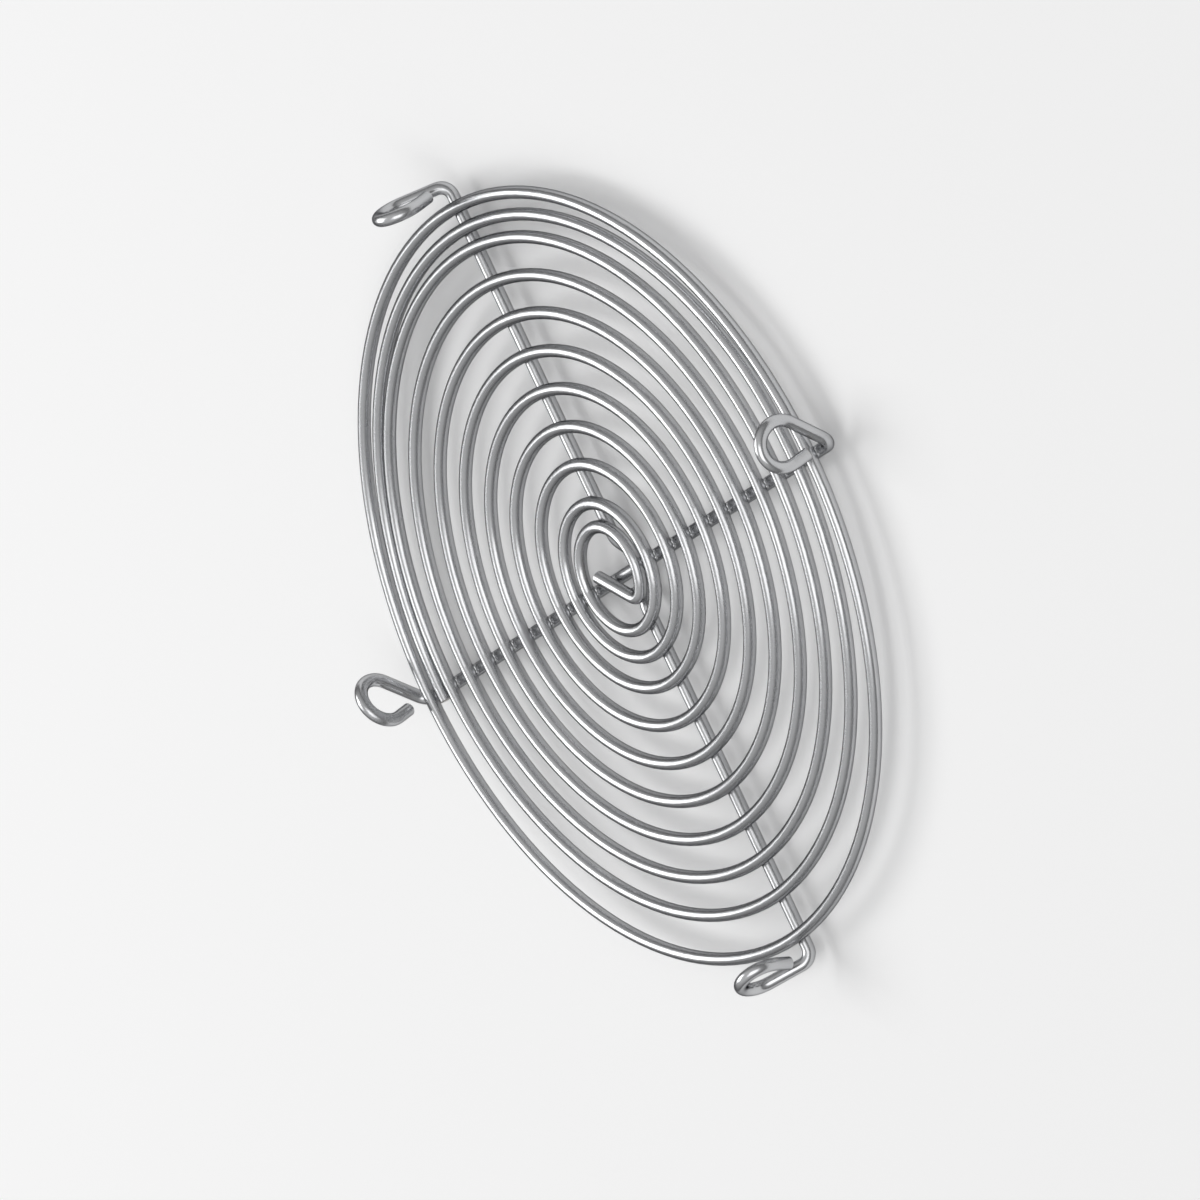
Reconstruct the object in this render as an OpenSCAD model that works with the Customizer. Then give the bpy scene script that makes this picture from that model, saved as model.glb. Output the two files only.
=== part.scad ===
// Wire fan guard: a spiral of round wire and an outer ring, welded on two cross wires
// whose ends are formed into four screw eyes. It lies on its back, with the eyes up.
// The origin is on the guard's axis, level with the underside of the cranked cross wire.

/* [Wire] */
// Diameter of the wire that all four pieces are bent from
wire_d = 3; // [2:0.1:3.6]
// Film of weld metal between two wires that cross
weld_gap = 0.05; // [0.02:0.01:0.2]

/* [Outer ring] */
// Outside diameter of the ring
ring_d = 185; // [160:1:190]

/* [Spiral] */
// Distance from each turn to the next, over most of the spiral
pitch = 9; // [8:0.2:12]
// Distance from each turn to the next, around the middle
close_pitch = 5.6; // [4.6:0.2:7]
// Number of quarter turns that are wound at the close pitch
close_quarters = 5; // [2:1:8]
// The same distance over the half turn after them, where the winding opens out
wide_pitch = 9.8; // [9:0.2:10.6]
// The same distance over the half turn after that, before the even turns
narrow_pitch = 6.8; // [6:0.2:8]
// Radius of the first bow, which comes before them
first_r = 10.5; // [10.4:0.1:14]
// How far the first bow's centre lies to the left of the guard's axis
first_left = 2.5; // [0:0.1:2.8]
// How far the first bow's centre lies above the guard's axis
first_up = 2; // [0:0.1:2.5]
// Clear space between the last turn and the ring
last_gap = 2.2; // [1.5:0.1:4]
// How far inside the last turn the easing bend starts, which lays that turn beside the ring
easing_rise = 0.2; // [0.1:0.1:1]
// How far the outer end runs on past the cross wire that it is welded to
end_overhang = 2.5; // [2:0.1:6]

/* [Tail in the middle] */
// Length of the straight tail, from its cut end to its bend
tail_len = 12; // [11:0.1:13]
// Angle of the bend between the tail and the first bow
tail_bend = 86; // [75:1:95]
// Radius of that bend
tail_bend_r = 3; // [2.5:0.1:4]

/* [Crank] */
// Length of the flat stretch that passes under the other cross wire
crank_flat = 5; // [3:0.5:6]
// Slope of the two ramps
crank_angle = 35; // [30:1:45]
// Radius of the crank's four bends
crank_r = 4; // [3:0.1:4.5]

/* [Screw eyes] */
// Distance from the ring, at the middle of its wire, out to the foot of each eye
eye_out = 6; // [5.5:0.5:20]
// Diameter of the hole through each eye
eye_hole = 7.8; // [7:0.1:8.6]
// Radius of the bend that turns each arm up into its eye
eye_bend_r = 3; // [2.5:0.1:4]
// Slope of the eye's first leg, measured from the guard's axis
eye_leg_angle = 43; // [40:1:55]
// Straight length of the eye's first leg
eye_leg = 8.5; // [6:0.1:10]
// Outward lean of the eye's first leg
eye_lean = 3; // [0:1:8]
// Angle that the wire turns through around the hole
eye_wrap = 237; // [225:1:240]
// Twist of the eye, which carries its last leg past the first
eye_twist = 16; // [14:1:22]
// Straight length of the eye's last leg, up to its cut end
eye_end_leg = 4; // [3:0.1:5]

/* [Hidden] */
$fn = 64;

// Each length of wire laps into the bends beside it, and bends are a hair thicker, so that
// the two join as one piece of wire
lap = 0.1;
lap_angle = 0.5;
bend_d = wire_d + 0.01;

// Heights of the layers of wire, at the middle of the wire
layer = wire_d + weld_gap;
crank_z = wire_d / 2;
arm_z = crank_z + layer;
face_z = arm_z + layer;

ring_r = (ring_d - wire_d) / 2;
last_r = ring_r - wire_d - last_gap;
eye_r = (eye_hole + wire_d) / 2;
arm_len = ring_r + eye_out - eye_bend_r;
crank_ramp = (layer - 2 * crank_r * (1 - cos(crank_angle))) / sin(crank_angle);
crank_len = crank_flat / 2 + 2 * crank_r * sin(crank_angle) + crank_ramp * cos(crank_angle);

// The first bow runs from here to the first joint
start_angle = -45;
// Angle between the arms of the cross wires
arm_spacing = 90;

function polar(r, angle) = r * [cos(angle), sin(angle)];
function angle_of(v) = atan2(v.y, v.x);
// The same direction as angle, as a value from start up to start + 360
function unwound(angle, start) = angle + 360 * ceil((start - angle) / 360);
function arc_angle(length, r) = length / r * 180 / PI;

// Each quarter turn is an arc with its own radius and centre. The centre steps back by as much
// as the radius grows, so that every arc runs smoothly into the next.
function joint(i) = 90 * i;
function growth(i) =
    let (after = i - close_quarters)
    (after <= 0 ? close_pitch : after <= 2 ? wide_pitch : after <= 4 ? narrow_pitch : pitch) / 4;
function quarter_r(i) = i == 0 ? first_r : quarter_r(i - 1) + growth(i);
function quarter_c(i) =
    i == 0 ? [-first_left, first_up] : quarter_c(i - 1) - polar(growth(i), joint(i));

// The spiral winds out until it is this far from the axis. There it runs smoothly into the
// easing arc, which touches the circle of the last turn from inside.
easing_in = last_r - easing_rise;

// Where the circle of quarter i winds outwards through that distance, if it does
function crossing(i) =
    let (c = quarter_c(i), r = quarter_r(i))
    unwound(angle_of(c) - acos((easing_in ^ 2 - r ^ 2 - c * c) / (2 * r * norm(c))), joint(i));

most_quarters = ceil(4 * last_r / close_pitch);
last_quarter = [for (i = [close_quarters:most_quarters]) if (crossing(i) <= joint(i + 1)) i][0];
easing_start = crossing(last_quarter);
easing_dir = polar(1, easing_start);
easing_p = quarter_c(last_quarter) + quarter_r(last_quarter) * easing_dir;
easing_r = (last_r ^ 2 - easing_p * easing_p) / (2 * (last_r - easing_p * easing_dir));
easing_c = easing_p - easing_r * easing_dir;
easing_end = unwound(angle_of(easing_c), easing_start);

// The last turn ends just past the second arm that it comes to
end_arm = arm_spacing * (ceil(easing_end / arm_spacing) + 1);
end_angle = end_arm + arc_angle(end_overhang, last_r);

// A straight wire along +Z. What follows carries on from its end.
module run(length) {
    translate([0, 0, -lap]) cylinder(d = wire_d, h = length + 2 * lap);
    translate([0, 0, length]) children();
}

// A wire that bends from +Z towards +X. What follows carries on from its end.
module bend(radius, angle) {
    translate([radius, 0, 0]) rotate([90, 0, 180]) flat_arc([0, 0], radius, 0, angle, bend_d);
    translate([radius * (1 - cos(angle)), 0, radius * sin(angle)])
        rotate([0, angle, 0]) children();
}

// Turns the direction of the next bend about the wire
module roll(angle) {
    rotate([0, 0, angle]) children();
}

// An arc of wire in the XY plane
module flat_arc(centre, radius, from, to, d = wire_d) {
    translate(centre) rotate_extrude(start = from, angle = to - from)
        translate([radius, 0]) circle(d = d);
}

// Quarter turn i of the spiral, between two angles
module quarter(i, from, to) {
    flat_arc(quarter_c(i), quarter_r(i), from, to);
}

module spiral_wire() {
    bend_c = quarter_c(0) + polar(first_r - tail_bend_r, start_angle);
    bend_from = start_angle - tail_bend;
    color("silver") translate([0, 0, face_z]) {
        translate(bend_c + polar(tail_bend_r, bend_from))
            rotate([90, 0, bend_from]) run(tail_len);
        flat_arc(bend_c, tail_bend_r, bend_from, start_angle, bend_d);
        quarter(0, start_angle - lap_angle, joint(1));
        for (i = [1:last_quarter - 1]) quarter(i, joint(i), joint(i + 1));
        quarter(last_quarter, joint(last_quarter), easing_start + lap_angle);
        flat_arc(easing_c, easing_r, easing_start, easing_end, bend_d);
        flat_arc([0, 0], last_r, easing_end - lap_angle, end_angle);
    }
}

module outer_ring() {
    color("silver") translate([0, 0, face_z]) rotate_extrude()
        translate([ring_r, 0]) circle(d = wire_d);
}

// The formed end of a cross wire: a bend up, a sloping leg, the hole and a short leg back
module screw_eye() {
    roll(-eye_leg_angle) bend(eye_bend_r, 90 - eye_lean)
        run(eye_leg) roll(90 - eye_twist) bend(eye_r, eye_wrap) run(eye_end_leg);
}

// A cross wire along X: its straight middle, and what carries on from both of its ends
module cross_wire(middle, z) {
    color("gainsboro") translate([0, 0, z]) {
        rotate([0, 90, 0]) cylinder(d = wire_d, h = middle + 2 * lap, center = true);
        for (side = [0, 1]) mirror([side, 0, 0])
            translate([middle / 2, 0, 0]) rotate([0, 90, 0]) roll(180) children();
    }
}

module straight_cross_wire() {
    cross_wire(2 * arm_len, arm_z) screw_eye();
}

module cranked_cross_wire() {
    rotate([0, 0, 90]) cross_wire(crank_flat, crank_z)
        bend(crank_r, crank_angle) run(crank_ramp)
        roll(180) bend(crank_r, crank_angle) roll(180) run(arm_len - crank_len)
        screw_eye();
}

spiral_wire();
outer_ring();
straight_cross_wire();
cranked_cross_wire();
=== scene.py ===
import math

import bmesh
import bpy
from mathutils import Matrix, Vector, noise


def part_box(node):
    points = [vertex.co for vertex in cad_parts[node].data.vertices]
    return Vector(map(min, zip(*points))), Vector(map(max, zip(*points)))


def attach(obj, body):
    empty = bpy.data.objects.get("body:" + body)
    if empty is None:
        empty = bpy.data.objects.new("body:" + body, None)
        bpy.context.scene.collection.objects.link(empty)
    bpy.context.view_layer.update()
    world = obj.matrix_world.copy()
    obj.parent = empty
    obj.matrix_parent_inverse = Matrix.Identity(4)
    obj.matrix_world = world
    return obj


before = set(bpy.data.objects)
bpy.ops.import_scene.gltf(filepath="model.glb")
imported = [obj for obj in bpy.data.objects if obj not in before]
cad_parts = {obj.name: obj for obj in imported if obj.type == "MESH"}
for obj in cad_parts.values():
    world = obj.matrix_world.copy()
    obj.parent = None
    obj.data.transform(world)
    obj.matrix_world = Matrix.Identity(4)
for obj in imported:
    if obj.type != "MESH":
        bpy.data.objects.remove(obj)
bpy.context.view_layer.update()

MM = 0.001
BODY = "root"
WIRE_R = 1.5 * MM
WELD_FILM = 0.05 * MM
# Corners of a new mesh that lie nearer to each other than this become one
MERGE = 0.002 * MM

RING_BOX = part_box("outer_ring")
# Height of the ring's and the spiral's wire, at its middle, and of the straight cross wire's
FACE_Z = (RING_BOX[0].z + RING_BOX[1].z) / 2
ARM_Z = FACE_Z - (2 * WIRE_R + WELD_FILM)
# Distance from the axis at which the cross wires turn up into their eyes
EYE_FOOT = RING_BOX[1].x + WIRE_R


# ---------------------------------------------------------------- small helpers

def node_tree(owner):
    """The empty node tree of a material or world."""
    owner.use_nodes = True
    owner.node_tree.nodes.clear()
    return owner.node_tree


def add(tree, kind, inputs=None, **settings):
    """Adds a node, with its settings and with a value or a link for each named input."""
    node = tree.nodes.new(kind)
    for name, value in settings.items():
        setattr(node, name, value)
    for name, value in (inputs or {}).items():
        if isinstance(value, bpy.types.NodeSocket):
            tree.links.new(value, node.inputs[name])
        else:
            node.inputs[name].default_value = value
    return node


def math_node(tree, operation, *values, clamp=False):
    """The output of a Math node."""
    inputs = dict(enumerate(values))
    return add(tree, "ShaderNodeMath", inputs, operation=operation, use_clamp=clamp).outputs[0]


def mixed_colour(tree, factor, first, second):
    """The output of a Mix node that mixes two colours."""
    node = add(tree, "ShaderNodeMix", data_type="RGBA")
    for index, value in ((0, factor), (6, first), (7, second)):
        if isinstance(value, bpy.types.NodeSocket):
            tree.links.new(value, node.inputs[index])
        else:
            node.inputs[index].default_value = value
    return node.outputs[2]


def new_group(name, inputs, outputs):
    """A shader node group with its sockets, its input node and its output node."""
    group = bpy.data.node_groups.new(name, "ShaderNodeTree")
    for socket, kind, value in inputs:
        made = group.interface.new_socket(socket, in_out="INPUT", socket_type=kind)
        if value is not None:
            made.default_value = value
    for socket, kind in outputs:
        group.interface.new_socket(socket, in_out="OUTPUT", socket_type=kind)
    return group, group.nodes.new("NodeGroupInput"), group.nodes.new("NodeGroupOutput")


def use_group(tree, group, inputs):
    """Places a node group in a tree."""
    return add(tree, "ShaderNodeGroup", inputs, node_tree=group)


def skin(bm, loops):
    """Joins each closed loop of corners to the next one with faces."""
    for low, high in zip(loops, loops[1:]):
        for k, corner in enumerate(low):
            following = (k + 1) % len(low)
            bm.faces.new((corner, low[following], high[following], high[k]))


def new_object(name, data):
    """Puts a mesh, a lamp or a camera into the scene."""
    obj = bpy.data.objects.new(name, data)
    bpy.context.scene.collection.objects.link(obj)
    return obj


def mesh_object(name, bm):
    """Puts the mesh that was built in a bmesh into the scene."""
    mesh = bpy.data.meshes.new(name)
    bm.to_mesh(mesh)
    bm.free()
    return new_object(name, mesh)


def finish_piece(name, bm, material):
    """Makes a smooth piece that rides on the guard."""
    bmesh.ops.recalc_face_normals(bm, faces=bm.faces)
    obj = mesh_object(name, bm)
    obj.data.materials.append(material)
    for face in obj.data.polygons:
        face.use_smooth = True
    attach(obj, BODY)


# ---------------------------------------------------------------- finishes

def drawn_streaks_group():
    """Fine streaks that the drawing die leaves along a wire."""
    group, inside, out = new_group(
        "Drawn streaks",
        [
            ("Vector", "NodeSocketVector", None),
            ("Scale", "NodeSocketFloat", 1.0),
            ("Contrast", "NodeSocketFloat", 0.5),
        ],
        [("Height", "NodeSocketFloat"), ("Mask", "NodeSocketFloat")],
    )
    middle, sparseness = 0.5, 3.0
    streaks = add(group, "ShaderNodeTexNoise", {
        "Vector": inside.outputs["Vector"], "Scale": inside.outputs["Scale"],
        "Detail": 3.0, "Roughness": 0.6,
    })
    centred = math_node(group, "SUBTRACT", streaks.outputs[0], middle)
    scaled = math_node(group, "MULTIPLY", centred, inside.outputs["Contrast"])
    height = math_node(group, "ADD", scaled, middle, clamp=True)
    group.links.new(height, out.inputs["Height"])
    mask = math_node(group, "POWER", height, sparseness)
    group.links.new(mask, out.inputs["Mask"])
    return group


def plating_group():
    """Bright plating: a slow change of tone, and the roughness that goes with it."""
    group, inside, out = new_group(
        "Bright plating",
        [
            ("Position", "NodeSocketVector", None),
            ("Bright", "NodeSocketColor", (0.8, 0.8, 0.8, 1)),
            ("Dull", "NodeSocketColor", (0.6, 0.6, 0.6, 1)),
            ("Streaks", "NodeSocketFloat", 0.5),
            ("Smooth", "NodeSocketFloat", 0.2),
            ("Rough", "NodeSocketFloat", 0.35),
        ],
        [("Color", "NodeSocketColor"), ("Roughness", "NodeSocketFloat")],
    )
    streak_share, cloud_floor = 0.5, 0.25
    clouds = add(group, "ShaderNodeTexNoise", {
        "Vector": inside.outputs["Position"], "Scale": 60.0, "Detail": 4.0,
    })
    cloudy = math_node(group, "SUBTRACT", clouds.outputs[0], cloud_floor)
    amount = math_node(group, "MULTIPLY_ADD", inside.outputs["Streaks"], streak_share, cloudy,
                       clamp=True)
    colour = mixed_colour(group, amount, inside.outputs["Bright"], inside.outputs["Dull"])
    group.links.new(colour, out.inputs["Color"])
    rough = add(group, "ShaderNodeMapRange", {
        "Value": amount, "To Min": inside.outputs["Smooth"], "To Max": inside.outputs["Rough"],
    })
    group.links.new(rough.outputs[0], out.inputs["Roughness"])
    return group


STREAKS = drawn_streaks_group()
PLATING = plating_group()
# For each finish: its values for the plating group, the tint of what its edges reflect, and
# how deep its streaks are
PLATED = {
    "surface": {
        "Bright": (0.60, 0.605, 0.615, 1), "Dull": (0.42, 0.425, 0.44, 1),
        "Smooth": 0.2, "Rough": 0.36,
    },
    "edge_tint": (0.08, 0.08, 0.085, 1),
    "depth": 0.05 * MM,
}
SHEARED = {
    "surface": {
        "Bright": (0.46, 0.45, 0.44, 1), "Dull": (0.30, 0.29, 0.28, 1),
        "Smooth": 0.35, "Rough": 0.6,
    },
    "edge_tint": (1, 1, 1, 1),
    "depth": 0.1 * MM,
}
# How close together the streaks lie: per metre across and along a straight wire, and per
# radian round the axis
STREAKS_ACROSS = 5000.0
STREAKS_ALONG = 150.0
STREAKS_AROUND = 6.0


def metal_material(name):
    """A new material, its node tree, and the output there that gives the place on the object."""
    material = bpy.data.materials.new(name)
    tree = node_tree(material)
    return material, tree, add(tree, "ShaderNodeTexCoord").outputs["Object"]


def metal_shader(tree, position, streaks, finish, bump):
    """The Principled BSDF and output that every metal ends in."""
    plating = use_group(tree, PLATING, {
        "Position": position, "Streaks": streaks.outputs["Mask"], **finish["surface"],
    })
    normal = add(tree, "ShaderNodeBump", {
        "Strength": bump, "Distance": finish["depth"], "Height": streaks.outputs["Height"],
    })
    shader = add(tree, "ShaderNodeBsdfPrincipled", {
        "Base Color": plating.outputs["Color"], "Roughness": plating.outputs["Roughness"],
        "Metallic": 1.0, "Specular Tint": finish["edge_tint"], "Normal": normal.outputs[0],
    })
    add(tree, "ShaderNodeOutputMaterial", {"Surface": shader.outputs[0]})


def ring_wire_material():
    """Plated wire with streaks that run round the guard's axis."""
    material, tree, position = metal_material("plated wire, round the axis")
    xyz = add(tree, "ShaderNodeSeparateXYZ", {0: position}).outputs
    squares = math_node(tree, "MULTIPLY_ADD", xyz[0], xyz[0],
                        math_node(tree, "MULTIPLY", xyz[1], xyz[1]))
    radius = math_node(tree, "SQRT", squares)
    around = add(tree, "ShaderNodeCombineXYZ", {
        0: math_node(tree, "DIVIDE", xyz[0], radius),
        1: math_node(tree, "DIVIDE", xyz[1], radius),
    }).outputs[0]
    across = add(tree, "ShaderNodeCombineXYZ", {
        0: math_node(tree, "MULTIPLY", radius, STREAKS_ACROSS),
        2: math_node(tree, "MULTIPLY", xyz[2], STREAKS_ACROSS),
    }).outputs[0]
    along = add(tree, "ShaderNodeVectorMath", {0: around, 1: (STREAKS_AROUND,) * 3},
                operation="MULTIPLY").outputs[0]
    vector = add(tree, "ShaderNodeVectorMath", {0: across, 1: along}, operation="ADD").outputs[0]
    streaks = use_group(tree, STREAKS, {"Vector": vector, "Scale": 1.0, "Contrast": 1.0})
    metal_shader(tree, position, streaks, PLATED, bump=0.5)
    return material


def straight_wire_material(name, axis):
    """Plated wire with streaks along X (axis 0) or Y (axis 1), which fade out at its eyes."""
    fade, eye_contrast = 1 * MM, 0.15
    material, tree, position = metal_material(name)
    scale = [STREAKS_ACROSS] * 3
    scale[axis] = STREAKS_ALONG
    vector = add(tree, "ShaderNodeMapping", {"Vector": position, "Scale": scale}).outputs[0]
    along = add(tree, "ShaderNodeSeparateXYZ", {0: position}).outputs[axis]
    contrast = add(tree, "ShaderNodeMapRange", {
        "Value": math_node(tree, "ABSOLUTE", along),
        "From Min": EYE_FOOT - fade, "From Max": EYE_FOOT + fade,
        "To Min": 1.0, "To Max": eye_contrast,
    }).outputs[0]
    streaks = use_group(tree, STREAKS, {"Vector": vector, "Scale": 1.0, "Contrast": contrast})
    metal_shader(tree, position, streaks, PLATED, bump=0.5)
    return material


def weld_material():
    """Plated weld metal: softly lumpy all over, with no streaks along it."""
    material, tree, position = metal_material("plated weld metal")
    streaks = use_group(tree, STREAKS, {"Vector": position, "Scale": 600.0, "Contrast": 0.8})
    metal_shader(tree, position, streaks, PLATED, bump=0.2)
    return material


def sheared_material():
    """The cut end of a wire: bare steel, dull and torn."""
    material, tree, position = metal_material("sheared wire end")
    streaks = use_group(tree, STREAKS, {"Vector": position, "Scale": 2500.0, "Contrast": 2.0})
    metal_shader(tree, position, streaks, SHEARED, bump=1.0)
    return material


# ---------------------------------------------------------------- what the frame says

def crossings(node, across):
    """Where a node's wires cross the line of an arm, as distances along that arm.

    across is the axis that is zero on the arm's line: 0 for X or 1 for Y.
    """
    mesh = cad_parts[node].data
    along = 1 - across
    hits = []
    for edge in mesh.edges:
        a, b = (mesh.vertices[v].co for v in edge.vertices)
        if a[across] * b[across] > 0 or a[across] == b[across]:
            continue
        share = a[across] / (a[across] - b[across])
        hits.append(a.lerp(b, share)[along])
    hits.sort()
    places = []
    start = hits[0]
    for here, following in zip(hits, hits[1:] + [math.inf]):
        if following - here > WIRE_R / 2:
            places.append((start + here) / 2)
            start = following
    return places


def cut_ends(node):
    """The middle and the outward direction of each flat cut end of a node's wire.

    A cut end is a flat patch of faces that is as wide as the wire and nearly fills its circle.
    """
    same_way, widest, fullest = 0.99999, 1.1 * WIRE_R, 0.8 * math.pi * WIRE_R ** 2
    bm = bmesh.new()
    bm.from_mesh(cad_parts[node].data)
    bmesh.ops.remove_doubles(bm, verts=bm.verts, dist=MERGE / 2)
    seen, ends = set(), []
    for face in bm.faces:
        if face in seen:
            continue
        patch, queue = {face}, [face]
        while queue:
            for edge in queue.pop().edges:
                for other in edge.link_faces:
                    if other not in patch and other.normal.dot(face.normal) > same_way:
                        patch.add(other)
                        queue.append(other)
        seen |= patch
        corners = {v for f in patch for v in f.verts}
        middle = sum((v.co for v in corners), Vector()) / len(corners)
        reach = max((v.co - middle).length for v in corners)
        area = sum(f.calc_area() for f in patch)
        if reach < widest and area > fullest:
            ends.append((middle, face.normal.copy()))
    bm.free()
    return ends


# ---------------------------------------------------------------- pieces

def weld_nugget(bm, place, along_upper):
    """Squeezed weld metal round the spot where one wire lies across another.

    It fills the wedge between the wires, and swells into the four corners beside them.
    """
    rings, sides = 9, 32
    reach, corner_reach = 0.82 * WIRE_R, 0.20 * WIRE_R
    half_height, corner_height = 0.36 * WIRE_R, 0.16 * WIRE_R
    taper = 0.3
    lump_width, lump_share = 1.2 * MM, 0.04
    turn = Matrix.Rotation(math.atan2(along_upper.y, along_upper.x), 3, "Z")
    loops = []
    for i in range(rings):
        level = math.sin(math.pi * (i / (rings - 1) - 0.5))
        narrowing = max(0.0, 1 - level ** 2) ** taper
        loop = []
        for k in range(sides):
            angle = 2 * math.pi * k / sides
            corner = math.sin(2 * angle) ** 2
            point = Vector((math.cos(angle), math.sin(angle), 0))
            point *= (reach + corner_reach * corner) * narrowing
            point.z = (half_height + corner_height * corner * narrowing) * level
            point *= 1 + lump_share * noise.noise((place + point) / lump_width)
            loop.append(bm.verts.new(place + turn @ point))
        loops.append(loop)
    skin(bm, loops)


def weld_piece(name, places, material):
    """One mesh with a weld nugget at each place."""
    bm = bmesh.new()
    for place, along_upper in places:
        weld_nugget(bm, place, along_upper)
    bmesh.ops.remove_doubles(bm, verts=bm.verts, dist=MERGE)
    finish_piece(name, bm, material)


def wire_end(name, middle, direction, material):
    """The sheared end of a wire: a rolled edge, a slanting face and a burr on one side."""
    sides, rings = 32, 8
    end_r, rounding = 0.995 * WIRE_R, 0.35
    rise, burr = 0.16 * MM, 0.10 * MM
    tear_width, tear_depth = 0.35 * MM, 0.03 * MM
    bm = bmesh.new()
    turn = direction.to_track_quat("Z", "Y").to_matrix()
    loops = []
    for i in range(rings + 1):
        share = i / rings
        quarter = share * math.pi / 2
        radius = end_r * math.cos(quarter) ** rounding
        loop = []
        for k in range(sides):
            angle = 2 * math.pi * k / sides
            slant = burr * (1 + math.sin(angle)) * radius / WIRE_R
            height = rise * math.sin(quarter) + slant * share
            point = Vector((radius * math.cos(angle), radius * math.sin(angle), height))
            point.z += tear_depth * noise.noise(point / tear_width) * share
            loop.append(bm.verts.new(middle + turn @ point))
        loops.append(loop)
    skin(bm, loops)
    bmesh.ops.remove_doubles(bm, verts=bm.verts, dist=MERGE)
    bm.faces.new([v for v in loops[0] if v.is_valid])
    finish_piece(name, bm, material)


def make_welds(material):
    """Welds where the spiral and the ring lie across the four arms, and where the arms cross."""
    contact_z = (FACE_Z + ARM_Z) / 2
    x_way, y_way = Vector((1, 0, 0)), Vector((0, 1, 0))
    spiral, ring = [], []
    for node, places in (("spiral_wire", spiral), ("outer_ring", ring)):
        for x in crossings(node, 1):
            places.append((Vector((x, 0, contact_z)), y_way))
        for y in crossings(node, 0):
            places.append((Vector((0, y, contact_z)), x_way))
    weld_piece("spiral_welds", spiral, material)
    weld_piece("ring_welds", ring, material)
    crossing = Vector((0, 0, ARM_Z - WIRE_R))
    weld_piece("centre_weld", [(crossing, x_way)], material)


def make_wire_ends(material):
    """A sheared end on each open end of the wires."""
    for node, slot in (("spiral_wire", "spiral_wire"), ("straight_cross_wire", "cross_wires"),
                       ("cranked_cross_wire", "cross_wires")):
        for i, (middle, direction) in enumerate(cut_ends(node), 1):
            wire_end(f"{node}_cut_end_{i}", middle, direction, material)


# ---------------------------------------------------------------- studio

FLOOR_COLOUR = (0.92, 0.92, 0.92, 1)


def make_floor():
    """A wide pale floor at the height that the guard lies on."""
    half = 3.0
    bm = bmesh.new()
    corners = [(-half, -half), (half, -half), (half, half), (-half, half)]
    bm.faces.new([bm.verts.new((x, y, 0)) for x, y in corners])
    floor = mesh_object("floor", bm)
    material = bpy.data.materials.new("pale floor")
    tree = node_tree(material)
    shader = add(tree, "ShaderNodeBsdfPrincipled", {
        "Base Color": FLOOR_COLOUR, "Roughness": 0.8, "Specular IOR Level": 0.1,
    })
    add(tree, "ShaderNodeOutputMaterial", {"Surface": shader.outputs[0]})
    floor.data.materials.append(material)


def soft_lamp(name, direction, distance, size, power):
    """A square soft box that looks at the guard from a direction."""
    lamp = bpy.data.lights.new(name, "AREA")
    lamp.shape = "SQUARE"
    lamp.size = size
    lamp.energy = power
    obj = new_object(name, lamp)
    towards = Vector(direction).normalized()
    obj.location = towards * distance
    obj.rotation_mode = "QUATERNION"
    obj.rotation_quaternion = towards.to_track_quat("Z", "Y")


def make_lamps():
    """A soft key light on one side and a weaker, wider fill on the other."""
    soft_lamp("key light", (-0.9, 0.5, 1.1), distance=1.8, size=1.1, power=13.0)
    soft_lamp("fill light", (0.9, -0.5, 1.4), distance=1.8, size=1.3, power=8.0)


def make_room():
    """A plain room that darkens towards the horizon, and is as pale as the floor below it."""
    at_horizon, overhead, full_height = 0.1, 0.64, 0.8
    world = bpy.data.worlds.new("room")
    bpy.context.scene.world = world
    tree = node_tree(world)
    upward = add(tree, "ShaderNodeSeparateXYZ", {
        0: add(tree, "ShaderNodeTexCoord").outputs["Generated"],
    }).outputs[2]
    lift = add(tree, "ShaderNodeMapRange", {
        "Value": upward, "From Max": full_height, "To Min": at_horizon, "To Max": overhead,
    }).outputs[0]
    above = mixed_colour(tree, lift, (0, 0, 0, 1), (1, 1, 1, 1))
    is_below = math_node(tree, "LESS_THAN", upward, 0.0)
    colour = mixed_colour(tree, is_below, above, FLOOR_COLOUR)
    background = add(tree, "ShaderNodeBackground", {"Color": colour, "Strength": 1.0})
    add(tree, "ShaderNodeOutputWorld", {"Surface": background.outputs[0]})


def make_camera():
    """Looks down on the guard from one side, square on and without perspective."""
    azimuth, elevation, roll = math.radians(84.1), math.radians(33.4), math.radians(112.0)
    view_width = 270.4 * MM
    right_of_centre, above_centre = 4.5 * MM, 5.5 * MM
    distance = 1.0
    camera = bpy.data.cameras.new("camera")
    camera.type = "ORTHO"
    camera.ortho_scale = view_width
    obj = new_object("camera", camera)
    back = Vector((
        math.sin(azimuth) * math.cos(elevation),
        -math.cos(azimuth) * math.cos(elevation),
        math.sin(elevation),
    ))
    turn = (-back).to_track_quat("-Z", "Y").to_matrix() @ Matrix.Rotation(-roll, 3, "Z")
    right, up = turn.col[0], turn.col[1]
    aim = Vector((0, 0, FACE_Z)) - right * right_of_centre - up * above_centre
    obj.rotation_mode = "QUATERNION"
    obj.rotation_quaternion = turn.to_quaternion()
    obj.location = aim + back * distance
    bpy.context.scene.camera = obj


# ---------------------------------------------------------------- the guard

def dress(node, material):
    """Gives a CAD node its material."""
    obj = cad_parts[node]
    obj.data.materials.clear()
    obj.data.materials.append(material)


make_camera()
make_floor()
make_lamps()
make_room()

ring_wire = ring_wire_material()
dress("spiral_wire", ring_wire)
dress("outer_ring", ring_wire)
dress("straight_cross_wire", straight_wire_material("plated wire, along X", 0))
dress("cranked_cross_wire", straight_wire_material("plated wire, along Y", 1))
make_welds(weld_material())
make_wire_ends(sheared_material())

bpy.context.scene.view_settings.view_transform = "Standard"
